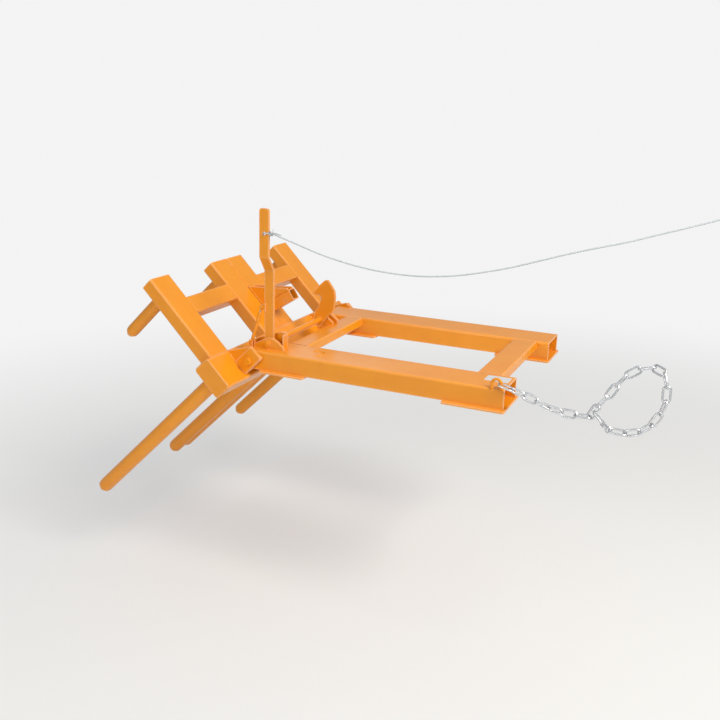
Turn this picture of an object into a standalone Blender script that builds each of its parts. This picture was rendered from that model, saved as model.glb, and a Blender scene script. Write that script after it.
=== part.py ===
"""Drum turner for a lift truck: two fork pockets carry a tilting holder with round prongs.

Metres. +X is the driver's right, +Y points forward along the forks and +Z is up.
The origin lies midway between the pockets' rear mouths, at the underside of their top plates.
The holder stands part-way through its tilt, and a hand lever works the latch that keeps it upright.
"""
import math

import bmesh
import bpy
from mathutils import Matrix, Vector

# Clearances
GAP = 0.0003
RUN = 0.0005

# Fork pockets
POCKET_WIDTH = 0.165
POCKET_DEPTH = 0.075
POCKET_LENGTH = 1.048
POCKET_WALL = 0.006
POCKET_BEND = 0.009
POCKET_SPREAD = 0.520
RETAINER_THICK = 0.008
RETAINER_LIP = 0.018
RETAINER_REAR = (-0.007, 0.225)
RETAINER_FRONT = (0.782, 0.975)
MEMBER_HEIGHT = 0.040
MEMBER_WALL = 0.004
MEMBER_BEND = 0.007
MEMBER_REAR = (0.052, 0.148)
MEMBER_FRONT = (0.853, 0.933)

# Tilting holder
TILT = math.radians(44.31)
PIVOT_Y = POCKET_LENGTH - 0.027
PIVOT_DROP = 0.0416
PIVOT_RADIUS = 0.0125
BEAM_LENGTH = 1.150
BEAM_HEIGHT = 0.140
BEAM_DEPTH = 0.080
BEAM_BACK = 0.052
BEAM_BOTTOM = -0.047
BEAM_WALL = 0.005
BEAM_BEND = 0.011
CAP_THICK = 0.005
BAR_WIDTH = 0.120
BAR_DEPTH = 0.060
BAR_BACK = 0.062
BAR_TOP = 0.483
BAR_WALL = 0.004
BAR_BEND = 0.008
OUTER_BAR_CENTRE = BEAM_LENGTH / 2 - 0.100
CROSSBAR_BOTTOM = 0.288
CROSSBAR_HEIGHT = 0.080
LUG_THICK = 0.010
LUG_CLEAR = 0.003
DOUBLER_THICK = 0.006
DOUBLER_WIDTH = 0.102
DOUBLER_HEIGHT = 0.062
WASHER_RADIUS = 0.0185
WASHER_THICK = 0.003
NUT_RADIUS = 0.0150
NUT_THICK = 0.009

# Prongs
LOWER_PRONG_RADIUS = 0.03015
LOWER_PRONG_TIP = 0.946
LOWER_PRONG_HEIGHT = 0.015
LOWER_PRONG_X = (BEAM_LENGTH / 2 - 0.035, 0.044)
UPPER_PRONG_RADIUS = 0.0255
UPPER_PRONG_TIP = 0.361
UPPER_PRONG_HEIGHT = 0.414
PRONG_WALL = 0.004
PRONG_TAPER = 0.030
PRONG_NOSE = 0.62

# Latch
SHAFT_Y = PIVOT_Y - 0.055
SHAFT_RISE = 0.028
SHAFT_RADIUS = 0.0125
SHAFT_END = 0.1205
SHAFT_HEAD_RADIUS = 0.0145
SHAFT_HEAD_THICK = 0.004
OUTER_BEARING_X = -0.383
BEARING_THICK = 0.010
INNER_BEARING_X = -0.347
FAR_BEARING_X = (0.072, 0.115)
STOP_Y = 0.8995
STOP_THICK = 0.005
LEVER_X = -0.370
LEVER_THICK = 0.010
LEVER_WIDTH = 0.041
LEVER_TOP = 0.531
LEVER_ROUND = 0.011
LEVER_JOGGLE = 0.038
LEVER_BEND_LOW = 0.289
LEVER_BEND_HIGH = 0.345
LEVER_LEAN = 0.005
ROPE_HOLE_RADIUS = 0.007
ROPE_HOLE_DROP = 0.094
HOOK_X = 0.052
HOOK_THICK = 0.012
NOTCH_CENTRE = (0.0045, 0.097)
NOTCH_RADIUS = 0.013
CATCH_RADIUS = 0.008
CATCH_CENTRE = (-0.043, 0.1596)
CATCH_END = 0.0665
STUB_SIZE = 0.050
STUB_WALL = 0.004
STUB_BEND = 0.006
STUB_END = (-0.082, 0.163)
STUB_SLOPE = math.radians(12.15)
GUSSET_THICK = 0.008
GUSSET_TOP = 0.322
GUSSET_NOSE = 0.008

# Gas strut between the pocket and the lever
STRUT_X = -0.384
STRUT_Y = PIVOT_Y + 0.017
STRUT_RISE = 0.030
STRUT_LEAN = math.radians(17.58)
STRUT_LENGTH = 0.149
STRUT_RADIUS = 0.0072
STRUT_TOP = 0.128
ROD_RADIUS = 0.003
STRUT_EYE_THICK = 0.007
STRUT_PIN_RADIUS = 0.003
STRUT_EYE_BORE = 0.0048
STRUT_EYE_RADIUS = 0.0085
CLEVIS_WALL = 0.004
CLEVIS_DEPTH = 0.015
EAR_THICK = 0.0045
EAR_PIVOT = (0.027, 0.144)

# Safety chain and snap hook
WIRE = 0.0078
LINK_PITCH = 0.0457
LINK_WIDTH = 0.0320
LINK_SEAT = 0.0003
LINK_SIDES = 6
EYE_X = -0.419
EYE_REAR = 0.0142
EYE_SPAN = 0.0335
EYE_BAR = 0.0105
EYE_TOP = 0.045
SNAP_BAR = 0.0080
SNAP_HALF_WIDTH = 0.014
SNAP_HALF_STRAIGHT = 0.0195
SNAP_TURN = math.radians(46.2)
SNAP_CENTRE = (-0.425, -0.3282, -0.0432)
SNAP_RING = 0.010
SNAP_RING_BAR = 0.007
GATE_RADIUS = 0.0033
GATE_PIVOT = -0.0142
GATE_END = 0.0162
CHEEK_THICK = 0.0015
RIVET_RADIUS = 0.0015

# Rope from the lever's top to the driver
ROPE_DIAMETER = 0.006
ROPE_POINTS = 72

POCKET_X = (POCKET_SPREAD + POCKET_WIDTH) / 2
PIVOT_Z = POCKET_WALL - PIVOT_DROP


def material(name, colour, metallic, roughness):
    """A Principled material of one plain colour."""
    mat = bpy.data.materials.new(name)
    mat.use_nodes = True
    shader = mat.node_tree.nodes["Principled BSDF"]
    shader.inputs["Base Color"].default_value = (*colour, 1.0)
    shader.inputs["Metallic"].default_value = metallic
    shader.inputs["Roughness"].default_value = roughness
    return mat


def pivot(name, place, turn=0.0):
    """An empty on a joint's axis, turned about X."""
    empty = bpy.data.objects.new(name, None)
    bpy.context.scene.collection.objects.link(empty)
    empty.location = place
    empty.rotation_euler = (turn, 0.0, 0.0)
    return empty


def finish(name, bm, mat, parent=None, smooth=False):
    """Turn a bmesh into a named object with its faces outward."""
    bmesh.ops.recalc_face_normals(bm, faces=bm.faces)
    mesh = bpy.data.meshes.new(name)
    bm.to_mesh(mesh)
    bm.free()
    mesh.materials.append(mat)
    if smooth:
        mesh.shade_smooth()
        mesh.set_sharp_from_angle(angle=math.radians(35))
    obj = bpy.data.objects.new(name, mesh)
    bpy.context.scene.collection.objects.link(obj)
    obj.parent = parent
    return obj


def placed(axis, u, v, t):
    """A point from its two outline values and its distance along the axis."""
    if axis == "x":
        return Vector((t, u, v))
    if axis == "y":
        return Vector((u, t, v))
    return Vector((u, v, t))


def rounded(points, radii, steps=4):
    """An outline with each corner rounded to its own radius by an arc."""
    result = []
    count = len(points)
    for i, radius in enumerate(radii):
        here = Vector(points[i])
        before = (Vector(points[i - 1]) - here).normalized()
        after = (Vector(points[(i + 1) % count]) - here).normalized()
        if radius <= 0:
            result.append(tuple(here))
            continue
        half = before.angle(after) / 2
        reach = radius / math.tan(half)
        middle = here + (before + after).normalized() * radius / math.sin(half)
        start = here + before * reach - middle
        sweep = math.pi - 2 * half
        turn = before.x * after.y - before.y * after.x
        sign = -1 if turn > 0 else 1
        for k in range(steps + 1):
            spin = Matrix.Rotation(sign * sweep * k / steps, 2)
            result.append(tuple(middle + spin @ start))
    return result


def arc(centre, radius, start, end, steps):
    """Points on an arc, with its angles in degrees."""
    points = []
    for k in range(steps + 1):
        angle = math.radians(start + (end - start) * k / steps)
        points.append((centre[0] + radius * math.cos(angle), centre[1] + radius * math.sin(angle)))
    return points


def prism(name, axis, outline, start, end, mat, parent=None, smooth=False):
    """A flat outline pushed along one axis."""
    bm = bmesh.new()
    near = [bm.verts.new(placed(axis, u, v, start)) for u, v in outline]
    far = [bm.verts.new(placed(axis, u, v, end)) for u, v in outline]
    bm.faces.new(near)
    bm.faces.new(list(reversed(far)))
    for i in range(len(near)):
        j = (i + 1) % len(near)
        bm.faces.new((near[i], far[i], far[j], near[j]))
    return finish(name, bm, mat, parent, smooth)


def section(centre, width, height, bend, steps=3):
    """A rectangle with equal round corners."""
    u, v = centre
    corners = [(u - width / 2, v - height / 2), (u + width / 2, v - height / 2)]
    corners += [(u + width / 2, v + height / 2), (u - width / 2, v + height / 2)]
    return rounded(corners, [bend] * 4, steps)


def hollow(name, axis, centre, size, wall, bend, start, end, mat, parent=None, lid=0.0):
    """A rectangular tube, open at both ends, or closed by a lid at its far end."""
    outer = section(centre, size[0], size[1], bend)
    inner = section(centre, size[0] - 2 * wall, size[1] - 2 * wall, bend - wall + 0.001)
    bm = bmesh.new()
    loops = []
    for outline, depth in ((outer, 0.0), (inner, lid)):
        for t in (start, end - depth):
            loops.append([bm.verts.new(placed(axis, u, v, t)) for u, v in outline])
    if lid > 0:
        bm.faces.new(loops[1])
        bm.faces.new(list(reversed(loops[3])))
    count = len(outer)
    for i in range(count):
        j = (i + 1) % count
        bm.faces.new((loops[0][i], loops[0][j], loops[1][j], loops[1][i]))
        bm.faces.new((loops[2][i], loops[3][i], loops[3][j], loops[2][j]))
        bm.faces.new((loops[0][i], loops[2][i], loops[2][j], loops[0][j]))
        if lid == 0:
            bm.faces.new((loops[1][i], loops[1][j], loops[3][j], loops[3][i]))
    return finish(name, bm, mat, parent, True)


def add_turned(bm, profile, frame, sides, closed=False):
    """Revolve a profile of (radius, height) pairs about the frame's local Z."""
    rings = []
    for radius, height in profile:
        if radius < 1e-7:
            rings.append([bm.verts.new(frame @ Vector((0, 0, height)))])
            continue
        ring = []
        for k in range(sides):
            angle = 2 * math.pi * k / sides
            point = (radius * math.cos(angle), radius * math.sin(angle), height)
            ring.append(bm.verts.new(frame @ Vector(point)))
        rings.append(ring)
    pairs = list(zip(rings, rings[1:]))
    if closed:
        pairs.append((rings[-1], rings[0]))
    for a, b in pairs:
        for k in range(sides):
            n = (k + 1) % sides
            if len(a) == 1 and len(b) == 1:
                break
            if len(a) == 1:
                bm.faces.new((a[0], b[k], b[n]))
            elif len(b) == 1:
                bm.faces.new((a[k], a[n], b[0]))
            else:
                bm.faces.new((a[k], a[n], b[n], b[k]))


def axis_frame(axis, place):
    """A matrix whose local Z runs along the named axis from a place."""
    turns = {
        "x": Matrix.Rotation(math.pi / 2, 4, "Y"),
        "y": Matrix.Rotation(-math.pi / 2, 4, "X"),
        "z": Matrix.Identity(4),
    }
    return Matrix.Translation(place) @ turns[axis]


def turned(name, profile, axis, place, mat, parent=None, sides=32, closed=False):
    """A solid of revolution about a line through a place."""
    bm = bmesh.new()
    add_turned(bm, profile, axis_frame(axis, place), sides, closed)
    return finish(name, bm, mat, parent, True)


def bore(obj, axis, place, radius, reach, sides=32):
    """Cut a round hole with a hidden cylinder that shares the object's parent."""
    profile = [(0, -reach), (radius, -reach), (radius, reach), (0, reach)]
    cutter = turned("cut_" + obj.name, profile, axis, place, obj.data.materials[0], obj.parent, sides)
    cutter.hide_render = True
    cutter.display_type = "WIRE"
    cut = obj.modifiers.new("hole", "BOOLEAN")
    cut.object = cutter
    cut.operation = "DIFFERENCE"
    cut.solver = "EXACT"


def weld(obj, other):
    """Unite a hidden helper solid with an object."""
    other.hide_render = True
    other.display_type = "WIRE"
    union = obj.modifiers.new("weld", "BOOLEAN")
    union.object = other
    union.operation = "UNION"
    union.solver = "EXACT"


def add_swept(bm, path, radius, sides, closed=False):
    """Sweep a round section along a path of points."""
    count = len(path)
    rings = []
    side = None
    for i, point in enumerate(path):
        if closed:
            tangent = (path[(i + 1) % count] - path[i - 1]).normalized()
        else:
            low = max(i - 1, 0)
            high = min(i + 1, count - 1)
            tangent = (path[high] - path[low]).normalized()
        if side is None:
            side = tangent.orthogonal().normalized()
        side = (side - tangent * side.dot(tangent)).normalized()
        other = tangent.cross(side)
        ring = []
        for k in range(sides):
            angle = 2 * math.pi * (k + 0.5) / sides
            offset = side * math.cos(angle) + other * math.sin(angle)
            ring.append(bm.verts.new(point + offset * radius))
        rings.append(ring)
    last = count if closed else count - 1
    for i in range(last):
        a = rings[i]
        b = rings[(i + 1) % count]
        for k in range(sides):
            n = (k + 1) % sides
            bm.faces.new((a[k], a[n], b[n], b[k]))
    if not closed:
        bm.faces.new(list(reversed(rings[0])))
        bm.faces.new(rings[-1])


def make_pocket(side, name, mat):
    """One inverted channel that a fork slides into, drilled for the pivot pin."""
    low = POCKET_WALL - POCKET_DEPTH
    half = POCKET_WIDTH / 2
    inside = half - POCKET_WALL
    points = [(-half, low), (-half, POCKET_WALL), (half, POCKET_WALL), (half, low)]
    points += [(inside, low), (inside, 0.0), (-inside, 0.0), (-inside, low)]
    radii = [0, POCKET_BEND, POCKET_BEND, 0, 0, POCKET_BEND - POCKET_WALL, POCKET_BEND - POCKET_WALL, 0]
    outline = [(u + side * POCKET_X, v) for u, v in rounded(points, radii)]
    pocket = prism("fork_pocket_" + name, "y", outline, 0.0, POCKET_LENGTH, mat, None, True)
    bore(pocket, "x", (side * POCKET_X, PIVOT_Y, PIVOT_Z), PIVOT_RADIUS + RUN, POCKET_WIDTH)


def make_retainer(side, name, span, mat):
    """A flat plate under a pocket that keeps the fork in."""
    top = POCKET_WALL - POCKET_DEPTH - GAP
    half = POCKET_WIDTH / 2 + RETAINER_LIP
    centre = (side * POCKET_X, (span[0] + span[1]) / 2)
    outline = section(centre, 2 * half, span[1] - span[0], 0.006, 2)
    prism("retainer_" + name, "z", outline, top - RETAINER_THICK, top, mat)


def make_member(name, span, mat):
    """A flat tube that ties the two pockets together."""
    centre = ((span[0] + span[1]) / 2, POCKET_WALL - MEMBER_HEIGHT / 2)
    size = (span[1] - span[0], MEMBER_HEIGHT)
    end = POCKET_SPREAD / 2 - GAP
    hollow(name, "x", centre, size, MEMBER_WALL, MEMBER_BEND, -end, end, mat)


def make_bearings(mat):
    """The upright plates that carry the latch shaft."""
    foot = POCKET_WALL + GAP
    half = BEARING_THICK / 2
    hole = SHAFT_RADIUS + RUN
    top = SHAFT_RISE + 0.0265
    points = [(0.892, foot), (0.898, 0.022), (0.919, 0.041), (0.943, top), (0.962, top)]
    points += [(0.985, 0.044), (1.028, 0.023), (1.028, foot)]
    outline = rounded(points, [0.002, 0.006, 0.02, 0.012, 0.012, 0.03, 0.005, 0.001], 3)
    plate = prism("bearing_outer", "x", outline, OUTER_BEARING_X - half, OUTER_BEARING_X + half, mat)
    bore(plate, "x", (OUTER_BEARING_X, SHAFT_Y, SHAFT_RISE), hole, BEARING_THICK)
    rear = STOP_Y + STOP_THICK + GAP
    points = [(rear, foot), (1.042, foot), (1.042, 0.030), (0.994, 0.051), (0.925, 0.074), (rear, 0.074)]
    outline = rounded(points, [0.001, 0.001, 0.006, 0.03, 0.008, 0.003], 3)
    plate = prism("bearing_inner", "x", outline, INNER_BEARING_X - half, INNER_BEARING_X + half, mat)
    bore(plate, "x", (INNER_BEARING_X, SHAFT_Y, SHAFT_RISE), hole, BEARING_THICK)
    edge = MEMBER_FRONT[1] + GAP
    points = [(0.907, foot), (0.905, 0.019), (0.952, top), (0.970, top)]
    points += [(0.991, 0.036), (0.986, -0.005), (edge, -0.005), (edge, foot)]
    outline = rounded(points, [0.001, 0.004, 0.014, 0.014, 0.01, 0.002, 0, 0], 3)
    for centre, name in zip(FAR_BEARING_X, ("middle", "end")):
        plate = prism("bearing_" + name, "x", outline, centre - half, centre + half, mat)
        bore(plate, "x", (centre, SHAFT_Y, SHAFT_RISE), hole, BEARING_THICK)
    near = INNER_BEARING_X + half
    far = OUTER_BEARING_X + half + GAP
    outline = [(far, foot), (near, foot), (near, 0.069), (far, 0.069)]
    outline = rounded(outline, [0.001, 0.001, 0.002, 0.006], 3)
    prism("lever_stop", "y", outline, STOP_Y, STOP_Y + STOP_THICK, mat)


def make_shaft(mat, latch):
    """The latch shaft, with a head outside its outer plate and a collar at its far end."""
    head = OUTER_BEARING_X - BEARING_THICK / 2 - GAP
    boss = head - SHAFT_HEAD_THICK
    profile = [(0, boss - 0.0015), (0.005, boss - 0.0015), (0.0065, boss), (SHAFT_HEAD_RADIUS - 0.001, boss)]
    profile += [(SHAFT_HEAD_RADIUS, boss + 0.001), (SHAFT_HEAD_RADIUS, head), (SHAFT_RADIUS, head)]
    profile += [(SHAFT_RADIUS, SHAFT_END + 0.008), (0, SHAFT_END + 0.008)]
    turned("latch_shaft", profile, "x", (0, 0, 0), mat, latch)
    start = FAR_BEARING_X[1] + BEARING_THICK / 2 + GAP
    ring = [(SHAFT_RADIUS + GAP, start), (SHAFT_RADIUS + 0.006, start)]
    ring += [(SHAFT_RADIUS + 0.006, start + 0.006), (SHAFT_RADIUS + GAP, start + 0.006)]
    turned("shaft_collar", ring, "x", (0, 0, 0), mat, latch, 32, True)


def make_lever(mat, latch):
    """The flat hand lever, offset outward above its lower part and holed for the rope."""
    half = LEVER_WIDTH / 2
    outline = arc((0, 0), half, 180, 360, 14)
    for side, start in ((1, 0), (-1, 90)):
        centre = (side * (half - LEVER_ROUND) - LEVER_LEAN, LEVER_TOP - LEVER_ROUND)
        outline += arc(centre, LEVER_ROUND, start, start + 90, 4)
    inner = LEVER_X - LEVER_THICK / 2
    lever = prism("latch_lever", "x", outline, inner, inner + LEVER_THICK, mat, latch)
    bm = bmesh.new()
    bm.from_mesh(lever.data)
    for height in (LEVER_BEND_LOW, LEVER_BEND_HIGH):
        everything = bm.verts[:] + bm.edges[:] + bm.faces[:]
        bmesh.ops.bisect_plane(bm, geom=everything, plane_co=(0, 0, height), plane_no=(0, 0, 1))
    for vert in bm.verts:
        rise = (vert.co.z - LEVER_BEND_LOW) / (LEVER_BEND_HIGH - LEVER_BEND_LOW)
        vert.co.x -= LEVER_JOGGLE * min(max(rise, 0), 1)
    bm.to_mesh(lever.data)
    bm.free()
    bore(lever, "x", (LEVER_X, 0, 0), SHAFT_RADIUS + 2 * GAP, LEVER_THICK)
    rope = (LEVER_X - LEVER_JOGGLE, -LEVER_LEAN * 0.8, LEVER_TOP - ROPE_HOLE_DROP)
    bore(lever, "x", rope, ROPE_HOLE_RADIUS, LEVER_THICK, 24)
    y, z = EAR_PIVOT
    reach = STRUT_PIN_RADIUS + 0.006
    outline = arc((y, z), reach, -90, 90, 10)
    outline += [(y - 0.015, z + 0.018), (y - 0.015, z - 0.018)]
    face = inner - GAP
    ear = prism("lever_ear", "x", outline, face - EAR_THICK, face, mat, latch)
    bore(ear, "x", (face, y, z), STRUT_PIN_RADIUS + GAP, 0.01, 16)


def make_hook(mat, latch):
    """The latch hook: a plate with a beak over the notch that takes the catch pin."""
    y, z = NOTCH_CENTRE
    outline = arc((0, 0), 0.027, -108, 18, 10)
    outline += [(0.022, 0.030), (0.003, 0.062), (-0.002, z - NOTCH_RADIUS - 0.004)]
    outline += arc((y, z), NOTCH_RADIUS, 225, 95, 8)
    under = z + NOTCH_RADIUS + 0.001
    outline += [(0.030, under)]
    outline += arc((0.031, under + 0.0025), 0.0025, -90, 35, 3)
    outline += [(0.012, 0.141), (-0.009, 0.163), (-0.024, 0.177)]
    outline += arc((-0.037, 0.174), 0.007, 60, 170, 4)
    outline += [(-0.062, 0.152), (-0.073, 0.135), (-0.0765, 0.110), (-0.0755, 0.085)]
    outline += [(-0.068, 0.045), (-0.046, 0.0265), (-0.036, 0.013), (-0.029, 0.002), (-0.019, -0.0125)]
    hook = prism("latch_hook", "x", outline, HOOK_X, HOOK_X + HOOK_THICK, mat, latch)
    bore(hook, "x", (HOOK_X, 0, 0), SHAFT_RADIUS + 2 * GAP, 2 * HOOK_THICK)


def make_holder_frame(mat, holder):
    """The beam, the four uprights and the two crossbars, all square-cornered tube."""
    depth = BEAM_BACK + BEAM_DEPTH / 2
    end = BEAM_LENGTH / 2 - CAP_THICK - GAP
    centre = (depth, BEAM_BOTTOM + BEAM_HEIGHT / 2)
    size = (BEAM_DEPTH, BEAM_HEIGHT)
    hollow("lower_beam", "x", centre, size, BEAM_WALL, BEAM_BEND, -end, end, mat, holder)
    cap = section(centre, BEAM_DEPTH, BEAM_HEIGHT, BEAM_BEND)
    for side, name in ((-1, "left"), (1, "right")):
        start = side * (end + GAP)
        prism("beam_cap_" + name, "x", cap, start, start + side * CAP_THICK, mat, holder)
    y = BAR_BACK + BAR_DEPTH / 2
    foot = BEAM_BOTTOM + BEAM_HEIGHT + GAP
    inner = BAR_WIDTH / 2 + GAP / 2
    spots = {"outer_left": -OUTER_BAR_CENTRE, "inner_left": -inner}
    spots.update({"inner_right": inner, "outer_right": OUTER_BAR_CENTRE})
    for name, x in spots.items():
        size = (BAR_WIDTH, BAR_DEPTH)
        hollow("upright_" + name, "z", (x, y), size, BAR_WALL, BAR_BEND, foot, BAR_TOP, mat, holder, BAR_WALL)
    start = inner + BAR_WIDTH / 2 + GAP
    end = OUTER_BAR_CENTRE - BAR_WIDTH / 2 - GAP
    centre = (y, CROSSBAR_BOTTOM + CROSSBAR_HEIGHT / 2)
    size = (BAR_DEPTH, CROSSBAR_HEIGHT)
    for side, name in ((-1, "left"), (1, "right")):
        span = sorted((side * start, side * end))
        hollow("crossbar_" + name, "x", centre, size, BAR_WALL, BAR_BEND, span[0], span[1], mat, holder)


def prong_profile(radius, start, tip):
    """Half of a prong: a tube with a tapered and rounded nose, open at its root."""
    nose = radius * PRONG_NOSE
    shoulder = tip - PRONG_TAPER
    profile = [(radius, start), (radius, shoulder), (radius * 0.93, shoulder + PRONG_TAPER * 0.45)]
    profile += [(nose + 0.001, tip - 0.006), (nose - 0.002, tip - 0.001), (nose * 0.5, tip), (0, tip)]
    profile += [(0, tip - 0.006), (nose - PRONG_WALL, tip - 0.007), (radius - PRONG_WALL, shoulder)]
    profile += [(radius - PRONG_WALL, start)]
    return profile


def make_prongs(mat, holder):
    """The long lower prongs on the beam and the short upper ones on the uprights."""
    root = BEAM_BACK + BEAM_DEPTH + GAP
    profile = prong_profile(LOWER_PRONG_RADIUS, root, LOWER_PRONG_TIP)
    names = ("outer", "inner")
    for x, name in zip(LOWER_PRONG_X, names):
        for side, hand in ((-1, "left"), (1, "right")):
            place = (side * x, 0, LOWER_PRONG_HEIGHT)
            turned("prong_lower_" + name + "_" + hand, profile, "y", place, mat, holder, 24, True)
    root = BAR_BACK + BAR_DEPTH + GAP
    profile = prong_profile(UPPER_PRONG_RADIUS, root, UPPER_PRONG_TIP)
    inner = BAR_WIDTH / 2 + GAP / 2
    for x, name in zip((OUTER_BAR_CENTRE, inner), names):
        for side, hand in ((-1, "left"), (1, "right")):
            place = (side * x, 0, UPPER_PRONG_HEIGHT)
            turned("prong_upper_" + name + "_" + hand, profile, "y", place, mat, holder, 24, True)


def make_lugs(side, hand, mat, holder):
    """Two hinge plates astride a pocket, each with a doubler, and the pin with its washers."""
    edge = BEAM_BACK - GAP
    points = [(-0.055, -0.031), (edge, -0.031), (edge, 0.089), (-0.045, 0.038)]
    outline = rounded(points, [0.008, 0.003, 0.003, 0.010], 3)
    half = POCKET_WIDTH / 2 + LUG_CLEAR
    square = section((0, 0.003), DOUBLER_WIDTH, DOUBLER_HEIGHT, 0.005, 2)
    hole = PIVOT_RADIUS + RUN
    for out, name in ((1, "outer"), (-1, "inner")):
        way = side * out
        start = side * POCKET_X + way * half
        face = start + way * LUG_THICK
        plate = prism("lug_" + name + "_" + hand, "x", outline, start, face, mat, holder)
        inside = face - way * LUG_THICK / 2
        top = face + way * DOUBLER_THICK
        weld(plate, prism("doubler_" + name + "_" + hand, "x", square, inside, top, mat, holder))
        bore(plate, "x", (start, 0, 0), hole, 0.05)
    face = half + LUG_THICK + DOUBLER_THICK + GAP
    collar = face + WASHER_THICK
    end = collar + NUT_THICK
    lip = 0.0015
    profile = [(0, end), (NUT_RADIUS - lip, end), (NUT_RADIUS, end - lip)]
    profile += [(NUT_RADIUS, collar), (WASHER_RADIUS, collar)]
    profile += [(WASHER_RADIUS, face), (PIVOT_RADIUS, face)]
    profile += [(radius, -height) for radius, height in reversed(profile)]
    turned("pivot_pin_" + hand, profile, "x", (side * POCKET_X, 0, 0), mat, holder, 28)


def make_stub(mat, steel, holder):
    """The square catch tube, its two gussets and the pin that the hook takes."""
    root_y = BAR_BACK - GAP
    end = Vector(STUB_END)
    back = Vector((math.cos(STUB_SLOPE), math.sin(STUB_SLOPE)))
    up = Vector((-back.y, back.x))
    half = STUB_SIZE / 2
    outer = section((half, 0), STUB_SIZE, STUB_SIZE, STUB_BEND)
    inner = section((half, 0), STUB_SIZE - 2 * STUB_WALL, STUB_SIZE - 2 * STUB_WALL, 0.003)
    bm = bmesh.new()
    loops = []
    for outline in (outer, inner):
        tip = []
        root = []
        for x, rise in outline:
            a = end + up * rise
            b = a + back * (root_y - a.x) / back.x
            tip.append(bm.verts.new((x, a.x, a.y)))
            root.append(bm.verts.new((x, b.x, b.y)))
        loops += [tip, root]
    for i in range(len(outer)):
        j = (i + 1) % len(outer)
        bm.faces.new((loops[0][i], loops[0][j], loops[1][j], loops[1][i]))
        bm.faces.new((loops[2][i], loops[3][i], loops[3][j], loops[2][j]))
        bm.faces.new((loops[0][i], loops[2][i], loops[2][j], loops[0][j]))
        bm.faces.new((loops[1][i], loops[1][j], loops[3][j], loops[3][i]))
    stub = finish("catch_tube", bm, mat, holder, True)
    y, z = CATCH_CENTRE
    bore(stub, "x", (half, y, z), CATCH_RADIUS + GAP, STUB_SIZE, 24)
    low = end + back * 0.004 + up * (half + GAP)
    nose = low + up * GUSSET_NOSE
    foot = low + back * (root_y - low.x) / back.x
    outline = [tuple(low), tuple(foot), (root_y, GUSSET_TOP), tuple(nose)]
    for start, name in ((0.0, "left"), (STUB_SIZE - GUSSET_THICK, "right")):
        prism("gusset_" + name, "x", outline, start, start + GUSSET_THICK, mat, holder)
    profile = [(0, 0), (CATCH_RADIUS, 0)]
    profile += [(CATCH_RADIUS, CATCH_END - 0.001), (CATCH_RADIUS - 0.001, CATCH_END), (0, CATCH_END)]
    turned("catch_pin", profile, "x", (0, y, z), steel, holder, 24)


def make_strut(mat, steel, latch):
    """The gas strut: a clevis on the pocket, a barrel that swings and a rod that slides in it."""
    foot = POCKET_WALL + GAP
    half = STRUT_EYE_THICK / 2 + RUN
    outer = half + 0.002 + CLEVIS_WALL
    inside = outer - CLEVIS_WALL
    top = STRUT_RISE + 0.008
    floor = foot + CLEVIS_WALL
    points = [(-outer, foot), (outer, foot), (outer, top), (inside, top)]
    points += [(inside, floor), (-inside, floor), (-inside, top), (-outer, top)]
    outline = [(u + STRUT_X, v) for u, v in points]
    near = STRUT_Y - CLEVIS_DEPTH / 2 + 0.001
    clevis = prism("strut_clevis", "y", outline, near, near + CLEVIS_DEPTH, mat)
    bore(clevis, "x", (STRUT_X, STRUT_Y, STRUT_RISE), STRUT_PIN_RADIUS + GAP, 0.03, 16)
    reach = outer + 0.001
    pin = [(0, -reach - 0.0025), (0.005, -reach - 0.0025), (0.005, -outer - GAP), (STRUT_PIN_RADIUS, -outer - GAP)]
    pin += [(STRUT_PIN_RADIUS, reach), (0, reach)]
    turned("strut_base_pin", pin, "x", (STRUT_X, STRUT_Y, STRUT_RISE), steel, None, 16)
    y, z = EAR_PIVOT
    head = -STRUT_EYE_THICK / 2 - 0.0018
    far = LEVER_X - LEVER_THICK / 2 - STRUT_X + 0.001
    pin = [(0, head - 0.0035), (0.0065, head - 0.0035), (0.0065, head), (STRUT_PIN_RADIUS, head)]
    pin += [(STRUT_PIN_RADIUS, far), (0, far)]
    turned("strut_top_pin", pin, "x", (STRUT_X, y, z), steel, latch, 16)
    swing = pivot("strut_axis", (STRUT_X, STRUT_Y, STRUT_RISE), STRUT_LEAN)
    half = STRUT_EYE_THICK / 2
    neck = 0.0118
    outline = arc((0, 0), 0.007, 180, 360, 10) + [(0.0055, neck + 0.001), (-0.0055, neck + 0.001)]
    foot_eye = prism("strut_foot", "x", outline, -half, half, mat, swing)
    radius = STRUT_RADIUS
    inside = ROD_RADIUS + GAP + 0.0002
    profile = [(0, neck), (radius - 0.001, neck), (radius, neck + 0.001), (radius, STRUT_TOP - 0.0015)]
    profile += [(radius - 0.0015, STRUT_TOP), (inside, STRUT_TOP), (inside, neck + 0.008), (0, neck + 0.008)]
    barrel = turned("strut_barrel", profile, "z", (0, 0, 0), mat, swing, 20)
    weld(barrel, foot_eye)
    bore(barrel, "x", (0, 0, 0), STRUT_PIN_RADIUS + GAP, 0.006, 16)
    eye_foot = STRUT_LENGTH - STRUT_EYE_RADIUS - 0.0035
    profile = [(0, 0.030), (ROD_RADIUS, 0.030), (ROD_RADIUS, eye_foot + 0.001), (0, eye_foot + 0.001)]
    rod = turned("strut_rod", profile, "z", (0, 0, 0), steel, swing, 20)
    outline = arc((0, STRUT_LENGTH), STRUT_EYE_RADIUS, -50, 230, 16)
    outline += [(-0.005, eye_foot), (0.005, eye_foot)]
    weld(rod, prism("strut_eye", "x", outline, -half, half, steel, swing))
    bore(rod, "x", (0, 0, STRUT_LENGTH), STRUT_EYE_BORE, 0.006, 24)


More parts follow.
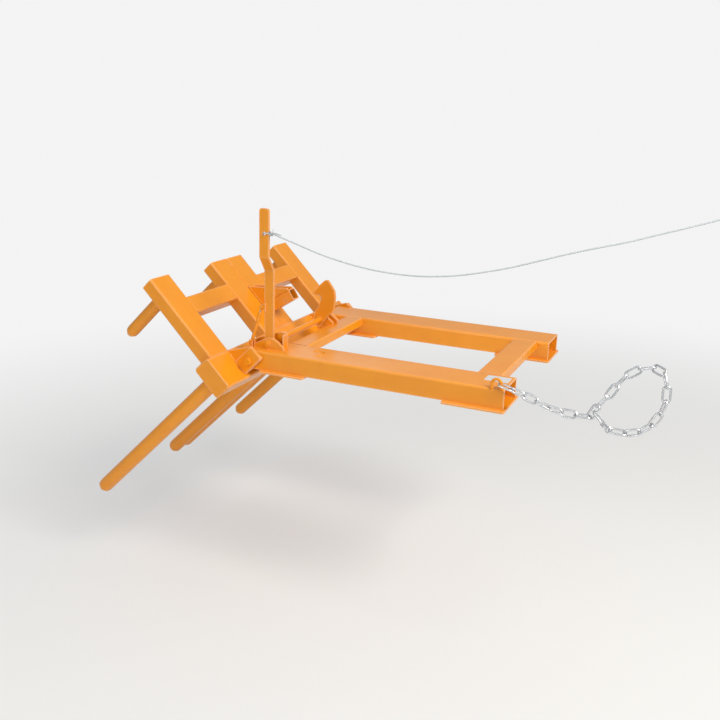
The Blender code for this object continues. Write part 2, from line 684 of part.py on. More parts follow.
def make_chain_eye(mat):
    """A bent round bar welded on the left pocket."""
    base = POCKET_WALL + GAP
    radius = EYE_SPAN / 2
    middle = EYE_REAR + radius
    crown = EYE_TOP - EYE_BAR / 2
    path = [Vector((EYE_X, EYE_REAR, base))]
    for y, z in arc((middle, crown - radius), radius, 180, 0, 12):
        path.append(Vector((EYE_X, y, z)))
    path.append(Vector((EYE_X, EYE_REAR + EYE_SPAN, base)))
    bm = bmesh.new()
    add_swept(bm, path, EYE_BAR / 2, 12)
    finish("chain_eye", bm, mat, None, True)


def add_link(bm, start, end, reaches, roll):
    """One link that runs past two contact points by its reaches; roll turns its plane from level."""
    along = (end - start).normalized()
    level = (Vector((1, 0, 0)) - along * along.x).normalized()
    below = level.cross(along)
    across = level * math.cos(roll) + below * math.sin(roll)
    radius = (LINK_WIDTH - WIRE) / 2
    near = start - along * (reaches[0] - radius)
    far = end + along * (reaches[1] - radius)
    path = []
    for centre, first in ((far, -90), (near, 90)):
        for k in range(6):
            angle = math.radians(first + 180 * k / 5)
            path.append(centre + (along * math.cos(angle) + across * math.sin(angle)) * radius)
    add_swept(bm, path, WIRE / 2, LINK_SIDES, True)


def smooth_route(points, count):
    """A smooth line through the route's own points, sampled many times."""
    result = []
    last = len(points) - 1
    for i in range(last):
        a = points[max(i - 1, 0)]
        b = points[i]
        c = points[i + 1]
        d = points[min(i + 2, last)]
        for k in range(count):
            t = k / count
            bend = (-a + 3 * b - 3 * c + d) * t * t * t
            pull = (2 * a - 5 * b + 4 * c - d) * t * t
            result.append((2 * b + (c - a) * t + pull + bend) / 2)
    result.append(points[last])
    return result


def even_points(route, count):
    """A number of points at even distances along a smooth route."""
    fine = smooth_route([Vector(point) for point in route], 40)
    travel = [0.0]
    for a, b in zip(fine, fine[1:]):
        travel.append(travel[-1] + (b - a).length)
    result = []
    k = 0
    for i in range(count):
        target = travel[-1] * i / (count - 1)
        while k < len(travel) - 2 and travel[k + 1] < target:
            k += 1
        share = (target - travel[k]) / (travel[k + 1] - travel[k])
        result.append(fine[k].lerp(fine[k + 1], share))
    return result


def link_count(route):
    """How many links of the chain's pitch fit a route."""
    fine = smooth_route([Vector(point) for point in route], 40)
    length = sum((b - a).length for a, b in zip(fine, fine[1:]))
    return round(length / LINK_PITCH)


def make_chain(mat):
    """The safety chain, from the pocket's eye to the snap hook and round in a loop to it again."""
    inside = EYE_BAR / 2 + GAP
    first = [(EYE_X, EYE_REAR + inside, 0.0215), (-0.421, -0.060, 0.000), (-0.424, -0.120, -0.019)]
    first += [(-0.425, -0.174, -0.036), (-0.425, -0.235, -0.042), (-0.425, -0.294, -0.041)]
    hold = ring_centre() + Vector((0, -1, 0)) * (SNAP_RING - SNAP_RING_BAR / 2 - GAP)
    loop = [first[-1], (-0.425, -0.3144, 0.000), (-0.421, -0.343, 0.036), (-0.403, -0.365, 0.074)]
    loop += [(-0.384, -0.388, 0.104), (-0.370, -0.425, 0.130), (-0.376, -0.470, 0.145)]
    loop += [(-0.398, -0.502, 0.144), (-0.415, -0.516, 0.120), (-0.424, -0.525, 0.082)]
    loop += [(-0.425, -0.523, 0.043), (-0.425, -0.510, 0.000), (-0.425, -0.487, -0.038)]
    loop += [(-0.425, -0.452, -0.066), (-0.425, -0.409, -0.077), tuple(hold)]
    lead = link_count(first)
    points = even_points(first, lead + 1) + even_points(loop, link_count(loop) + 1)[1:]
    ways = [(b - a).normalized() for a, b in zip(points, points[1:])]
    seat = WIRE / 2 * math.cos(math.pi / LINK_SIDES) - LINK_SEAT
    reaches = [WIRE / 2 + GAP]
    reaches += [seat / math.cos(a.angle(b) / 2) for a, b in zip(ways, ways[1:])]
    reaches.append(WIRE / 2 + GAP)
    links = (bmesh.new(), bmesh.new())
    for i in range(len(ways)):
        roll = -5 - 120 * i
        if i >= lead:
            roll = 20 + 90 * (i - lead + 1)
        add_link(links[i % 2], points[i], points[i + 1], reaches[i:i + 2], math.radians(roll))
    chain = finish("chain", links[0], mat, None, True)
    weld(chain, finish("chain_between", links[1], mat, None, True))


def ring_centre():
    """The centre of the ring at the snap hook's lower end."""
    reach = SNAP_HALF_STRAIGHT + SNAP_HALF_WIDTH + SNAP_RING
    way = Vector((0, math.cos(SNAP_TURN), math.sin(SNAP_TURN)))
    return Vector(SNAP_CENTRE) - way * reach


def make_snap(mat, steel):
    """The snap hook: a bent bar with a swinging gate, and a ring for the chain's end."""
    frame = pivot("snap_axis", SNAP_CENTRE, SNAP_TURN)
    half = SNAP_HALF_WIDTH
    straight = SNAP_HALF_STRAIGHT
    path = [Vector((-half, GATE_END + GAP, 0))]
    path += [Vector((x, y, 0)) for x, y in arc((0, straight), half, 180, 0, 8)]
    path += [Vector((x, y, 0)) for x, y in arc((0, -straight), half, 0, -180, 8)]
    path.append(Vector((-half, GATE_PIVOT - GATE_RADIUS - GAP, 0)))
    bm = bmesh.new()
    add_swept(bm, path, SNAP_BAR / 2, 10)
    hook = finish("snap_hook", bm, mat, frame, True)
    centre = Vector((0, -straight - half - SNAP_RING, 0))
    ring = []
    for k in range(14):
        angle = 2 * math.pi * k / 14
        ring.append(centre + Vector((0, math.cos(angle), math.sin(angle))) * SNAP_RING)
    bm = bmesh.new()
    add_swept(bm, ring, SNAP_RING_BAR / 2, 8, True)
    weld(hook, finish("snap_ring", bm, mat, frame, True))
    cheeks = section((-half, GATE_PIVOT - 0.003), 0.0066, 0.016, 0.003, 3)
    start = GATE_RADIUS + GAP
    for side in (-1, 1):
        low = side * start
        weld(hook, prism("snap_cheek", "z", cheeks, low, low + side * CHEEK_THICK, mat, frame))
    bore(hook, "z", (-half, GATE_PIVOT, 0), RIVET_RADIUS + GAP, 0.02, 12)
    reach = start + CHEEK_THICK + GAP
    head = RIVET_RADIUS + 0.0013
    rivet = [(0, -reach - 0.001), (head, -reach - 0.001), (head, -reach), (RIVET_RADIUS, -reach)]
    rivet += [(RIVET_RADIUS, reach), (head, reach), (head, reach + 0.001), (0, reach + 0.001)]
    turned("snap_rivet", rivet, "z", (-half, GATE_PIVOT, 0), steel, frame, 12)
    swing = pivot("gate_axis", frame.matrix_basis @ Vector((-half, GATE_PIVOT, 0)), SNAP_TURN)
    profile = [(0, GATE_END - GATE_PIVOT), (GATE_RADIUS, GATE_END - GATE_PIVOT)]
    for k in range(6):
        angle = math.radians(18 * k)
        profile.append((GATE_RADIUS * math.cos(angle), -GATE_RADIUS * math.sin(angle)))
    gate = turned("snap_gate", profile, "y", (0, 0, 0), mat, swing, 16)
    bore(gate, "z", (0, 0, 0), RIVET_RADIUS + GAP, 0.01, 12)


def make_rope(mat, latch):
    """The release rope, knotted through the lever's top and led back towards the driver."""
    route = [(-0.408, 0.9407, 0.4675), (-0.408, 0.914, 0.463), (-0.407, 0.893, 0.456)]
    route += [(-0.404, 0.836, 0.438), (-0.396, 0.734, 0.406), (-0.388, 0.655, 0.386)]
    route += [(-0.380, 0.578, 0.371), (-0.371, 0.502, 0.361), (-0.359, 0.409, 0.355)]
    route += [(-0.347, 0.319, 0.357), (-0.334, 0.230, 0.367), (-0.320, 0.144, 0.384)]
    route += [(-0.303, 0.044, 0.409), (-0.285, -0.054, 0.440), (-0.265, -0.155, 0.472)]
    route += [(-0.247, -0.243, 0.497), (-0.228, -0.332, 0.521), (-0.211, -0.412, 0.547)]
    route += [(-0.192, -0.494, 0.573), (-0.177, -0.555, 0.593), (-0.164, -0.610, 0.611)]
    route += [(-0.158, -0.634, 0.619)]
    centre = Vector((0, SHAFT_Y, SHAFT_RISE))
    curve = bpy.data.curves.new("rope", "CURVE")
    curve.dimensions = "3D"
    spline = curve.splines.new("POLY")
    points = even_points(route, ROPE_POINTS)
    spline.points.add(len(points) - 1)
    for slot, point in zip(spline.points, points):
        slot.co = (*(point - centre), 1.0)
    curve.bevel_depth = ROPE_DIAMETER / 2
    curve.bevel_resolution = 2
    curve.use_fill_caps = True
    curve.materials.append(mat)
    rope = bpy.data.objects.new("rope", curve)
    bpy.context.scene.collection.objects.link(rope)
    rope.parent = latch


def main():
    for obj in list(bpy.data.objects):
        bpy.data.objects.remove(obj)
    orange = material("orange_paint", (0.80, 0.27, 0.045), 0.0, 0.38)
    steel = material("bare_steel", (0.55, 0.54, 0.52), 1.0, 0.38)
    zinc = material("zinc_plate", (0.66, 0.67, 0.68), 1.0, 0.34)
    for side, hand in ((-1, "left"), (1, "right")):
        make_pocket(side, hand, orange)
        make_retainer(side, "rear_" + hand, RETAINER_REAR, orange)
        make_retainer(side, "front_" + hand, RETAINER_FRONT, orange)
    make_member("cross_member_rear", MEMBER_REAR, orange)
    make_member("cross_member_front", MEMBER_FRONT, orange)
    make_bearings(orange)
    make_chain_eye(orange)
    make_chain(zinc)
    make_snap(zinc, steel)
    holder = pivot("holder_axis", (0, PIVOT_Y, PIVOT_Z), -TILT)
    latch = pivot("latch_axis", (0, SHAFT_Y, SHAFT_RISE))
    make_shaft(orange, latch)
    make_lever(orange, latch)
    make_hook(orange, latch)
    make_holder_frame(orange, holder)
    make_prongs(orange, holder)
    for side, hand in ((-1, "left"), (1, "right")):
        make_lugs(side, hand, orange, holder)
    make_stub(orange, steel, holder)
    make_strut(orange, zinc, latch)
    make_rope(material("grey_rope", (0.36, 0.38, 0.40), 0.0, 0.8), latch)


main()
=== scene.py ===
"""Drum turner: paint, welds, chain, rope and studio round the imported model.

Metres, in the model's own frame: +Y runs along the fork pockets to the holder, +X is to the right of it, +Z is up.
"""
import math

import bmesh
import bpy
from mathutils import Matrix, Vector


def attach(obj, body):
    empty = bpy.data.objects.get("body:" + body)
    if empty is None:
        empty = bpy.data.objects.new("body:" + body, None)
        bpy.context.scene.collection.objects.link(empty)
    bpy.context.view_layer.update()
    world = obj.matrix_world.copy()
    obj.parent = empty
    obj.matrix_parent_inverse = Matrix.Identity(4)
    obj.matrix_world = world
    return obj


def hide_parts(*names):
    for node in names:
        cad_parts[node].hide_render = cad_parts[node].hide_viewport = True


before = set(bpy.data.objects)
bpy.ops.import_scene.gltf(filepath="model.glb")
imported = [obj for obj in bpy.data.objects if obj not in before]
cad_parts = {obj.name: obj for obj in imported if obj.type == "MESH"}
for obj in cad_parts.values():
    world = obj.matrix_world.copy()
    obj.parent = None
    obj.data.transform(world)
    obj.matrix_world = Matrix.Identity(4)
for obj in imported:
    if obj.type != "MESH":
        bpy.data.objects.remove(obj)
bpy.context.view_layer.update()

# Camera
CAMERA_PLACE = (-3.169, -0.690, 0.948)
CAMERA_AZIMUTH = math.radians(65.697)
CAMERA_PITCH = math.radians(16.888)
CAMERA_ROLL = -0.02359
CAMERA_LENS = 42.637

# Frame and holder
GAP = 0.0003
PIVOT = Vector((0, 1.021, -0.0356))
TILT = math.radians(44.31)
SHAFT = Vector((0, 0.966, 0.028))
POCKET_X = 0.3425
POCKET_HALF = 0.0825
POCKET_TOP = 0.006
POCKET_LOW = -0.069
MEMBER_LOW = -0.034
MEMBER_END = 0.2603
MEMBER_SPANS = ((0.052, 0.148), (0.853, 0.933))
RETAINER_SPANS = ((-0.004, 0.222), (0.785, 0.972))
CLEVIS_X = -0.384
EYE_LEGS = (0.0142, 0.0477)
EYE_LEG_RADIUS = 0.0058
BEAM_BACK = 0.052
BEAM_FRONT = 0.132
BEAM_LOW = -0.047
BEAM_TOP = 0.093
BAR_BACK = 0.062
BAR_FRONT = 0.122
BAR_TOP = 0.483

OUTER_UPRIGHT_X = 0.475
INNER_UPRIGHT_X = 0.06015
UPRIGHT_HALF = 0.060
CROSSBAR_LOW = 0.288
CROSSBAR_TOP = 0.368
LOWER_PRONG_X = (0.540, 0.044)
LOWER_PRONG_UP = 0.015
UPPER_PRONG_UP = 0.414
BEAM_CAP_X = 0.5698

# Catch: its tube comes back from the uprights at a slope, between two gussets
CATCH_SLOPE = math.radians(12.15)
CATCH_UP = 0.163
CATCH_BACK = 0.082
CATCH_HALF_HEIGHT = 0.0256
CATCH_PIN = (-0.043, 0.1596)

# Studio
BACKDROP = 0.90
FLOOR_HEIGHT = -1.02
FLOOR_HALF = 14.0
AIM = (-0.1, 0.75, -0.1)

# Chain
WIRE = 0.0078
LINK_PITCH = 0.0457
LINK_WIDTH = 0.0320
LINK_PLAY = 0.0002
LEAD_TWIST = 120
LOOP_TWIST = 90
EYE = Vector((-0.419, 0.031, 0.0))
SNAP_CENTRE = Vector((-0.425, -0.3282, -0.0432))
SNAP_TURN = math.radians(46.2)

# Rope
ROPE_DIAMETER = 0.006

# Paint and metal colours, linear
PAINT = (0.88, 0.322, 0.010)
PAINT_DUSK = (0.84, 0.292, 0.009)
# Pale colour painted along edges and corners as a highlight
PAINTED_EDGE_HIGHLIGHT = (1.0, 0.62, 0.38)
PAINT_CHIP = (0.40, 0.16, 0.05)
PAINT_DUST = (0.85, 0.46, 0.28)
EYE_PAINT = (0.85, 0.31, 0.014)
BARE_STEEL = (0.60, 0.59, 0.57)

# Label and mark on top of the left pocket
LABEL_LOW = (-0.346, 0.010)
LABEL_HIGH = (-0.286, 0.098)
LABEL_BEND = 0.003
MARK_CENTRE = (-0.346, 0.768)
MARK_TAIL = (-0.321, 0.797)

# Weld beads
SEAM = 0.0028
GROOVE_SEAM = 0.0046


class Number:
    """A socket that carries a number; Python's operators on it add Math nodes."""

    def __init__(self, tree, socket):
        self.tree = tree
        self.socket = socket

    def math(self, operation, *values):
        settings = {"operation": operation}
        return Number(self.tree, self.tree.add("ShaderNodeMath", settings, dict(enumerate(values))).outputs[0])

    def __add__(self, other):
        return self.math("ADD", self, other)

    def __sub__(self, other):
        return self.math("SUBTRACT", self, other)

    def __mul__(self, other):
        return self.math("MULTIPLY", self, other)

    def __truediv__(self, other):
        return self.math("DIVIDE", self, other)

    def __rsub__(self, other):
        return self.math("SUBTRACT", other, self)

    def __rtruediv__(self, other):
        return self.math("DIVIDE", other, self)

    __radd__ = __add__
    __rmul__ = __mul__

    def __pow__(self, other):
        return self.math("POWER", self, other)

    def sine(self):
        return self.math("SINE", self)

    def size(self):
        return self.math("ABSOLUTE", self)

    def least(self, other):
        return self.math("MINIMUM", self, other)

    def most(self, other):
        return self.math("MAXIMUM", self, other)

    def step(self, low, high):
        """From 0 at low to 1 at high, smoothly."""
        settings = {"interpolation_type": "SMOOTHSTEP"}
        return Number(self.tree, self.tree.add("ShaderNodeMapRange", settings, {0: self, 1: low, 2: high}).outputs[0])


class Tree:
    """A node tree that is filled with one method."""

    def __init__(self, tree):
        self.tree = tree

    def add(self, kind, settings=None, values=None):
        """One node: its settings come first, then the values or links of its sockets."""
        node = self.tree.nodes.new(kind)
        for key, value in (settings or {}).items():
            setattr(node, key, value)
        for key, value in (values or {}).items():
            socket = node.inputs[key]
            if isinstance(value, Number):
                value = value.socket
            if isinstance(value, bpy.types.NodeSocket):
                self.tree.links.new(value, socket)
            else:
                socket.default_value = value
        return node


class Finish(Tree):
    """A material with its Principled shader and the patterns that feed it."""

    def __init__(self, name):
        self.material = bpy.data.materials.new(name)
        self.material.use_nodes = True
        super().__init__(self.material.node_tree)
        self.tree.nodes.clear()
        self.shader = self.add("ShaderNodeBsdfPrincipled")
        self.add("ShaderNodeOutputMaterial", None, {"Surface": self.shader.outputs[0]})
        self.place = self.add("ShaderNodeTexCoord").outputs["Object"]

    def stretched(self, scale, turn=(0, 0, 0)):
        return self.add("ShaderNodeMapping", None, {"Vector": self.place, "Scale": scale, "Rotation": turn}).outputs[0]

    def noise(self, scale, detail=3.0, rough=0.55, place=None):
        values = {"Vector": place or self.place, "Scale": scale, "Detail": detail, "Roughness": rough}
        return Number(self, self.add("ShaderNodeTexNoise", None, values).outputs[0])

    def axis(self, index, place=None):
        parts = self.add("ShaderNodeSeparateXYZ", None, {0: place or self.place})
        return Number(self, parts.outputs[index])

    def blend(self, share, a, b):
        """Colour a where share is 0 and b where it is 1."""
        a, b = ((*c, 1) if isinstance(c, tuple) else c for c in (a, b))
        values = {0: share, 6: a, 7: b}
        return self.add("ShaderNodeMix", {"data_type": "RGBA"}, values).outputs[2]

    def bump(self, height, strength, distance, under=None):
        values = {"Height": height, "Strength": strength, "Distance": distance}
        if under:
            values["Normal"] = under
        return self.add("ShaderNodeBump", None, values).outputs[0]

    def edge(self, radius):
        """Near 1 along edges and corners, and 0 on flat faces."""
        soft = self.add("ShaderNodeBevel", {"samples": 4}, {"Radius": radius})
        sharp = self.add("ShaderNodeNewGeometry")
        values = {0: soft.outputs[0], 1: sharp.outputs["Normal"]}
        turn = self.add("ShaderNodeVectorMath", {"operation": "DOT_PRODUCT"}, values)
        return 1 - Number(self, turn.outputs["Value"])

    def set(self, **values):
        """Sockets of the Principled shader, by name with _ for a space."""
        for key, value in values.items():
            socket = self.shader.inputs[key.replace("_", " ")]
            if isinstance(value, Number):
                value = value.socket
            if isinstance(value, bpy.types.NodeSocket):
                self.tree.links.new(value, socket)
            else:
                socket.default_value = value
        return self.material


def powder_coat(name, colour, dusk, edges=True, bare=None):
    """Satin orange powder coat: a faint orange peel, handling marks, dust on top faces, and a painted highlight along
    edges.
    """
    paint = Finish(name)
    cloud = paint.noise(5.5, 4.0, 0.6)
    fleck = paint.noise(260.0, 2.0)
    up = paint.axis(2, paint.add("ShaderNodeNewGeometry").outputs["Normal"])
    dust = up.step(0.5, 1.0) * paint.noise(14.0, 5.0, 0.65).step(0.35, 0.75)
    smear = paint.noise(9.0, 4.0, 0.6, paint.stretched((1.0, 0.25, 1.0))).step(0.55, 0.8)
    scratch = paint.noise(48.0, 2.0, 0.5, paint.stretched((1.0, 0.05, 9.0), (0.4, 0.2, 0.7))).step(0.68, 0.74)
    base = paint.blend(cloud.step(0.3, 0.75), colour, dusk)
    base = paint.blend(dust * 0.10, base, PAINT_DUST)
    if edges:
        corner = paint.edge(0.0070)
        chips = paint.noise(190.0, 2.0, 0.6).step(0.62, 0.70) * corner.step(0.10, 0.3)
        # Painted highlight: a pale colour laid along edges and corners
        base = paint.blend(corner.step(0.006, 0.10) * 0.75, base, PAINTED_EDGE_HIGHLIGHT)
        base = paint.blend(chips * 0.18, base, PAINT_CHIP)
    rough = 0.24 + cloud * 0.10 + dust * 0.14 + smear * 0.06 + scratch * 0.08
    peel = paint.bump(paint.noise(330.0, 2.0, 0.4), 0.18 if edges else 0.05, 0.0005)
    ripple = paint.bump(fleck, 0.04, 0.0003, peel)
    if bare:
        centre, radius, metal = bare
        values = {0: paint.place, 1: centre}
        reach = Number(paint, paint.add("ShaderNodeVectorMath", {"operation": "DISTANCE"}, values).outputs["Value"])
        worn = 1 - (reach + (fleck - 0.5) * 0.004).step(radius, radius + 0.001)
        base = paint.blend(worn, base, metal)
        paint.set(Metallic=worn)
    return paint.set(Base_Color=base, Roughness=rough, Normal=ripple, IOR=1.45, Coat_Weight=0.22, Coat_Roughness=0.12)


def bright_steel(name, colour, along):
    """Turned steel with fine rings along one axis and a little staining."""
    steel = Finish(name)
    scale = [60.0, 60.0, 60.0]
    scale[along] = 1400.0
    rings = steel.noise(1.0, 3.0, 0.5, steel.stretched(tuple(scale)))
    stain = steel.noise(85.0, 4.0, 0.6)
    base = steel.blend(stain.step(0.45, 0.75) * 0.5, colour, tuple(c * 0.55 for c in colour))
    rough = 0.26 + rings * 0.16 + stain * 0.12
    return steel.set(Base_Color=base, Roughness=rough, Metallic=1.0, Normal=steel.bump(rings, 0.25, 0.0002))


def zinc_plate(name, colour):
    """Bright zinc plate: small crystals, duller hollows and rubbed wear on the outside."""
    zinc = Finish(name)
    cell = zinc.add("ShaderNodeTexVoronoi", None, {"Vector": zinc.place, "Scale": 420.0})
    flake = zinc.axis(0, cell.outputs["Color"])
    cloud = zinc.noise(60.0, 4.0, 0.6)
    base = zinc.blend(flake * 0.35, colour, tuple(c * 0.72 for c in colour))
    base = zinc.blend(cloud.step(0.5, 0.8) * 0.6, base, (0.34, 0.35, 0.36))
    rough = 0.24 + flake * 0.10 + cloud * 0.18
    pits = zinc.bump(zinc.noise(700.0, 3.0, 0.6), 0.20, 0.0003)
    return zinc.set(Base_Color=base, Roughness=rough, Metallic=1.0, Normal=pits)


def painted_eye(name, centre, radius, paint, metal):
    """A zinc rod whose eye, within a radius of its centre, is painted with the frame."""
    rod = Finish(name)
    values = {0: rod.place, 1: centre}
    reach = Number(rod, rod.add("ShaderNodeVectorMath", {"operation": "DISTANCE"}, values).outputs["Value"])
    bare = reach.step(radius, radius + 0.0008)
    cloud = rod.noise(120.0, 4.0, 0.6)
    painted = rod.blend(cloud, paint, tuple(c * 0.85 for c in paint))
    base = rod.blend(bare, painted, rod.blend(cloud, metal, (0.4, 0.4, 0.4)))
    bump = rod.bump(cloud, 0.15, 0.0002)
    return rod.set(Base_Color=base, Roughness=0.24 + cloud * 0.12, Metallic=bare, Normal=bump)


def laid_rope(name, colour):
    """Fine yarns that run round each strand, read from the rope's own map."""
    rope = Finish(name)
    chart = rope.add("ShaderNodeUVMap", {"uv_map": "lay"}).outputs[0]
    values = {"Vector": chart, "Rotation": (0, 0, 0.9), "Scale": (42.0, 2600.0, 1.0)}
    slant = rope.add("ShaderNodeMapping", None, values)
    yarn = rope.noise(1.0, 2.0, 0.5, slant.outputs[0])
    wear = rope.noise(30.0, 3.0)
    base = rope.blend(yarn, tuple(c * 0.62 for c in colour), tuple(min(c * 1.35, 1) for c in colour))
    base = rope.blend(wear.step(0.45, 0.8) * 0.4, base, tuple(c * 0.7 for c in colour))
    fuzz = rope.bump(yarn, 0.6, 0.0005)
    return rope.set(Base_Color=base, Roughness=0.72 + yarn * 0.16, Normal=fuzz, Sheen_Weight=0.25)


def blank_plate(name):
    """A bare, slightly scuffed identity plate."""
    plate = Finish(name)
    scuff = plate.noise(70.0, 4.0, 0.6, plate.stretched((1.0, 6.0, 1.0)))
    base = plate.blend(scuff.step(0.5, 0.8) * 0.5, (0.80, 0.82, 0.84), (0.58, 0.59, 0.60))
    bump = plate.bump(scuff, 0.1, 0.0001)
    return plate.set(Base_Color=base, Roughness=0.32 + scuff * 0.2, Metallic=0.35, Normal=bump)


def stage_white(name, colour):
    """The pale floor and backdrop, which the camera and reflections see as one even tone."""
    pale = Finish(name)
    grain = pale.noise(4.0, 2.0)
    tone = pale.blend(grain * 0.08, colour, tuple(c * 0.97 for c in colour))
    pale.set(Base_Color=tone, Roughness=0.9, Specular_IOR_Level=0.1)
    reach = Number(pale, pale.add("ShaderNodeVectorMath", {"operation": "LENGTH"}, {0: pale.place}).outputs["Value"])
    rays = pale.add("ShaderNodeLightPath")
    seen = Number(pale, rays.outputs["Is Camera Ray"]).most(Number(pale, rays.outputs["Is Glossy Ray"]) * 0.5)
    white = pale.add("ShaderNodeEmission", None, {0: (1, 1, 1, 1), 1: BACKDROP})
    share = seen * (0.35 + 0.65 * reach.step(1.6, 5.5))
    both = pale.add("ShaderNodeMixShader", None, {0: share, 1: pale.shader.outputs[0], 2: white.outputs[0]})
    pale.add("ShaderNodeOutputMaterial", None, {0: both.outputs[0]}).is_active_output = True
    return pale.material


ORANGE = powder_coat("orange_powder_coat", PAINT, PAINT_DUSK)
ROUND = powder_coat("orange_powder_coat_round", PAINT, PAINT_DUSK, False)
HOOK = powder_coat("orange_powder_coat_rubbed", PAINT, PAINT_DUSK, True,
                   ((0.058, 0.9705, 0.125), 0.0160, (0.66, 0.64, 0.61)))
STEEL = bright_steel("turned_steel", BARE_STEEL, 0)
ZINC = zinc_plate("zinc_plated", (0.74, 0.76, 0.79))
ROPE = laid_rope("grey_rope_yarn", (0.56, 0.61, 0.65))
PLATE = blank_plate("blank_label_plate")
PIN_END = PIVOT + Vector((0, CATCH_PIN[0] * math.cos(TILT) + CATCH_PIN[1] * math.sin(TILT),
                          CATCH_PIN[1] * math.cos(TILT) - CATCH_PIN[0] * math.sin(TILT)))
CATCH = painted_eye("catch_pin_steel", PIN_END, 0.0105, EYE_PAINT, BARE_STEEL)
ROD = painted_eye("strut_rod_zinc", (CLEVIS_X, 0.993, 0.172), 0.0125, EYE_PAINT, (0.66, 0.67, 0.68))
SPECIAL = {"strut_rod": ROD, "catch_pin": CATCH, "latch_hook": HOOK}
ROUND_NODES = ("prong", "pivot_pin", "latch_shaft", "strut_barrel", "strut_base_pin", "strut_top_pin", "chain_eye",
               "shaft_collar")
FINISHES = {"orange_paint": ORANGE, "bare_steel": STEEL, "zinc_plate": ZINC, "grey_rope": ROPE}


def place_camera():
    """The photograph's own view of the frame."""
    azimuth, pitch = CAMERA_AZIMUTH, CAMERA_PITCH
    ahead = Vector((math.sin(azimuth) * math.cos(pitch), math.cos(azimuth) * math.cos(pitch), -math.sin(pitch)))
    level = Vector((math.cos(azimuth), -math.sin(azimuth), 0))
    down = ahead.cross(level)
    right = level * math.cos(CAMERA_ROLL) + down * math.sin(CAMERA_ROLL)
    fall = down * math.cos(CAMERA_ROLL) - level * math.sin(CAMERA_ROLL)
    data = bpy.data.cameras.new("camera")
    data.lens = CAMERA_LENS
    data.sensor_width = 36.0
    data.clip_end = 100.0
    camera = bpy.data.objects.new("camera", data)
    columns = Matrix((right, -fall, -ahead)).transposed()
    camera.matrix_world = Matrix.Translation(CAMERA_PLACE) @ columns.to_4x4()
    bpy.context.scene.collection.objects.link(camera)
    bpy.context.scene.camera = camera


def lamp(name, place, aim, size, power, tint=(1, 1, 1)):
    data = bpy.data.lights.new(name, "AREA")
    data.shape = "DISK"
    data.size = size
    data.energy = power
    data.color = tint
    light = bpy.data.objects.new(name, data)
    light.location = place
    light.rotation_euler = (Vector(aim) - Vector(place)).to_track_quat("-Z", "Y").to_euler()
    bpy.context.scene.collection.objects.link(light)


def make_studio():
    """Pale floor and world, a soft key lamp from the pocket mouths and weak ones from above, left and right."""
    bm = bmesh.new()
    for x, y in ((-1, -1), (1, -1), (1, 1), (-1, 1)):
        bm.verts.new((x * FLOOR_HALF, y * FLOOR_HALF, FLOOR_HEIGHT))
    bm.faces.new(bm.verts)
    mesh = bpy.data.meshes.new("floor")
    bm.to_mesh(mesh)
    floor = bpy.data.objects.new("floor", mesh)
    bpy.context.scene.collection.objects.link(floor)
    mesh.materials.append(stage_white("pale_floor", (0.86, 0.86, 0.86)))
    world = bpy.data.worlds.new("studio")
    bpy.context.scene.world = world
    world.use_nodes = True
    sky = Tree(world.node_tree)
    world.node_tree.nodes.clear()
    rays = sky.add("ShaderNodeLightPath")
    seen = Number(sky, rays.outputs["Is Camera Ray"]).most(Number(sky, rays.outputs["Is Glossy Ray"]) * 0.22)
    lit = sky.add("ShaderNodeBackground", None, {0: (0.93, 0.96, 1.0, 1), 1: 0.30})
    shown = sky.add("ShaderNodeBackground", None, {0: (1, 1, 1, 1), 1: BACKDROP})
    both = sky.add("ShaderNodeMixShader", None, {0: seen, 1: lit.outputs[0], 2: shown.outputs[0]})
    sky.add("ShaderNodeOutputWorld", None, {0: both.outputs[0]})
    lamp("key", (-1.6, -3.6, 4.2), AIM, 2.6, 330, (1.0, 0.96, 0.86))
    lamp("top", (0.6, 0.6, 4.0), AIM, 3.0, 12)
    lamp("side", (-4.6, 1.9, 1.6), AIM, 2.4, 52)
    lamp("far", (3.6, 3.0, 2.6), AIM, 2.4, 14)


def add_piece(name, bm, material, smooth=True):
    """A mesh piece at the origin, with its faces outward."""
    mesh = bpy.data.meshes.new(name)
    bm.to_mesh(mesh)
    bm.free()
    piece = bpy.data.objects.new(name, mesh)
    bpy.context.scene.collection.objects.link(piece)
    mesh.materials.append(material)
    if smooth:
        mesh.shade_smooth()
    return piece


def settle(piece, body, replaced=()):
    """Says what body a piece has, and hides the nodes that it stands for."""
    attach(piece, body)
    if replaced:
        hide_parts(*replaced)
    return piece


def input_socket(tree, name, kind, value):
    """A named input of a Geometry Nodes tree."""
    socket = tree.interface.new_socket(name, in_out="INPUT", socket_type=kind)
    if value is not None:
        socket.default_value = value
    return socket


